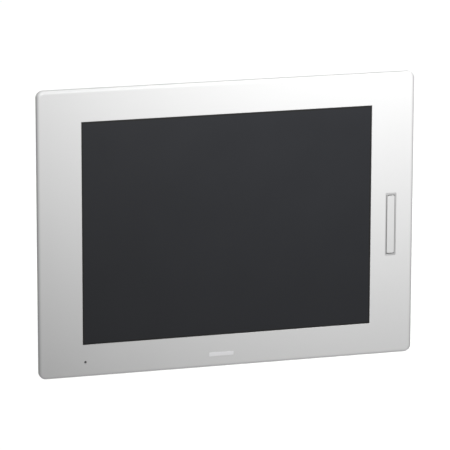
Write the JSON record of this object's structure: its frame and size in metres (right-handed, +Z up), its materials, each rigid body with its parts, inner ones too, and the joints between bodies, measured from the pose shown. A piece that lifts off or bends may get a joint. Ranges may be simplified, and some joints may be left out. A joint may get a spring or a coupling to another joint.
{
  "type": "hmi touch panel",
  "caption": "Panel-mount operator terminal: silver-grey bezel, dark 4:3 touch screen, service door, swing-out clamps, steel housing and vented rear cover.",
  "frame": {"origin": "centre of the panel cut-out, on the plane where the bezel seats on the cabinet panel's outer face", "axes": "+X to the right seen from the front, +Y from the screen into the cabinet, +Z up"},
  "size_m": [0.397, 0.061, 0.296],
  "materials": {
    "bezel_paint": "satin silver-grey paint on die-cast aluminium",
    "badge_metal": "fine satin",
    "seal_rubber": "matte black elastomer",
    "touch_film": "anti-glare matte film",
    "touch_glass": "clear float glass",
    "lamp_lens": "smoked clear light pipe",
    "led_white": "light-emitting diode body",
    "circuit_board": "green solder resist",
    "door_plastic": "silver-grey painted plastic",
    "pin_steel": "ground",
    "nickel_shell": "nickel-plated",
    "black_plastic": "moulded",
    "bright_steel": "pressed sheet",
    "lcd_glass": "liquid crystal sheet with polarisers",
    "clear_acrylic": "polished acrylic",
    "white_sheet": "diffusing sheet",
    "aluminium_bar": "bare",
    "white_plastic": "moulded polycarbonate",
    "zinc_steel": "zinc-plated sheet",
    "screw_steel": "zinc-plated",
    "ribbon_film": "polyimide film",
    "cover_aluminium": "bead-blasted sheet",
    "label_film": "blank silver label film",
    "spacer_brass": "turned",
    "heat_sink_aluminium": "black anodised",
    "green_plastic": "moulded",
    "lever_zinc": "die-cast"
  },
  "bodies": {
    "hmi": {"backlight_bar": "aluminium_bar", "backlight_leds": "led_white", "backup_battery": "nickel_shell", "battery_holder": "black_plastic", "blank_badge": "badge_metal", "board_spacers": "spacer_brass", "card_door_pin": "pin_steel", "card_slot": "nickel_shell", "chassis_screws": "screw_steel", "cover_screws": "screw_steel", "display_board": "circuit_board", "display_ribbon": "ribbon_film", "earth_stud": "screw_steel", "front_bezel": "bezel_paint", "front_usb_board": "circuit_board", "heat_sink": "heat_sink_aluminium", "lcd_brackets": "zinc_steel", "lcd_cell": "lcd_glass", "lcd_mould_frame": "white_plastic", "lcd_rim": "bright_steel", "lcd_tray": "bright_steel", "light_guide": "clear_acrylic", "machine_screws": "screw_steel", "main_board": "circuit_board", "network_sockets": "nickel_shell", "optical_sheets": "white_sheet", "panel_gasket": "seal_rubber", "power_pins": "pin_steel", "power_socket": "green_plastic", "processor": "nickel_shell", "rating_plate": "label_film", "rear_chassis": "zinc_steel", "rear_cover": "cover_aluminium", "serial_insert": "black_plastic", "serial_jack_screws": "spacer_brass", "serial_shell": "nickel_shell", "status_board": "circuit_board", "status_led": "led_white", "status_lens": "lamp_lens", "touch_film": "touch_film", "touch_glass": "touch_glass", "usb_door_pin": "pin_steel", "usb_door_seal": "seal_rubber", "usb_shells": "nickel_shell", "usb_tongues": "black_plastic", "window_seal": "seal_rubber"},
    "usb_door": {"usb_door": "door_plastic"},
    "card_door": {"card_door": "black_plastic"},
    "clamp_screw_top_left": {"clamp_screw_top_left": "screw_steel"},
    "clamp_lever_top_left": {"clamp_lever_top_left": "lever_zinc"},
    "clamp_screw_top_right": {"clamp_screw_top_right": "screw_steel"},
    "clamp_lever_top_right": {"clamp_lever_top_right": "lever_zinc"},
    "clamp_screw_bottom_left": {"clamp_screw_bottom_left": "screw_steel"},
    "clamp_lever_bottom_left": {"clamp_lever_bottom_left": "lever_zinc"},
    "clamp_screw_bottom_right": {"clamp_screw_bottom_right": "screw_steel"},
    "clamp_lever_bottom_right": {"clamp_lever_bottom_right": "lever_zinc"},
    "clamp_screw_left": {"clamp_screw_left": "screw_steel"},
    "clamp_lever_left": {"clamp_lever_left": "lever_zinc"},
    "clamp_screw_right": {"clamp_screw_right": "screw_steel"},
    "clamp_lever_right": {"clamp_lever_right": "lever_zinc"}
  },
  "joints": [
    {"name": "usb_door_hinge", "type": "hinge", "parent": "hmi", "child": "usb_door", "pos_m": [0.17465, -0.00375, -0.0402], "axis": [1, 0, 0], "range_deg": [0, 108]},
    {"name": "card_door_hinge", "type": "hinge", "parent": "hmi", "child": "card_door", "pos_m": [0.1625, 0.0326, -0.05], "axis": [0, 0, -1], "range_deg": [0, 95]},
    {"name": "clamp_travel_top_left", "type": "slide", "parent": "hmi", "child": "clamp_screw_top_left", "axis": [0, -1, 0], "range_m": [0, 0.007]},
    {"name": "clamp_swing_top_left", "type": "hinge", "parent": "clamp_screw_top_left", "child": "clamp_lever_top_left", "pos_m": [-0.1, 0.0105, 0.13275], "axis": [0, 1, 0], "range_deg": [0, 90]},
    {"name": "clamp_travel_top_right", "type": "slide", "parent": "hmi", "child": "clamp_screw_top_right", "axis": [0, -1, 0], "range_m": [0, 0.007]},
    {"name": "clamp_swing_top_right", "type": "hinge", "parent": "clamp_screw_top_right", "child": "clamp_lever_top_right", "pos_m": [0.1, 0.0105, 0.13275], "axis": [0, -1, 0], "range_deg": [0, 90]},
    {"name": "clamp_travel_bottom_left", "type": "slide", "parent": "hmi", "child": "clamp_screw_bottom_left", "axis": [0, -1, 0], "range_m": [0, 0.007]},
    {"name": "clamp_swing_bottom_left", "type": "hinge", "parent": "clamp_screw_bottom_left", "child": "clamp_lever_bottom_left", "pos_m": [-0.1, 0.0105, -0.13275], "axis": [0, -1, 0], "range_deg": [0, 90]},
    {"name": "clamp_travel_bottom_right", "type": "slide", "parent": "hmi", "child": "clamp_screw_bottom_right", "axis": [0, -1, 0], "range_m": [0, 0.007]},
    {"name": "clamp_swing_bottom_right", "type": "hinge", "parent": "clamp_screw_bottom_right", "child": "clamp_lever_bottom_right", "pos_m": [0.1, 0.0105, -0.13275], "axis": [0, 1, 0], "range_deg": [0, 90]},
    {"name": "clamp_travel_left", "type": "slide", "parent": "hmi", "child": "clamp_screw_left", "axis": [0, -1, 0], "range_m": [0, 0.007]},
    {"name": "clamp_swing_left", "type": "hinge", "parent": "clamp_screw_left", "child": "clamp_lever_left", "pos_m": [-0.18325, 0.0105, 0], "axis": [0, -1, 0], "range_deg": [0, 90]},
    {"name": "clamp_travel_right", "type": "slide", "parent": "hmi", "child": "clamp_screw_right", "axis": [0, -1, 0], "range_m": [0, 0.007]},
    {"name": "clamp_swing_right", "type": "hinge", "parent": "clamp_screw_right", "child": "clamp_lever_right", "pos_m": [0.18325, 0.0105, 0], "axis": [0, 1, 0], "range_deg": [0, 90]}
  ]
}
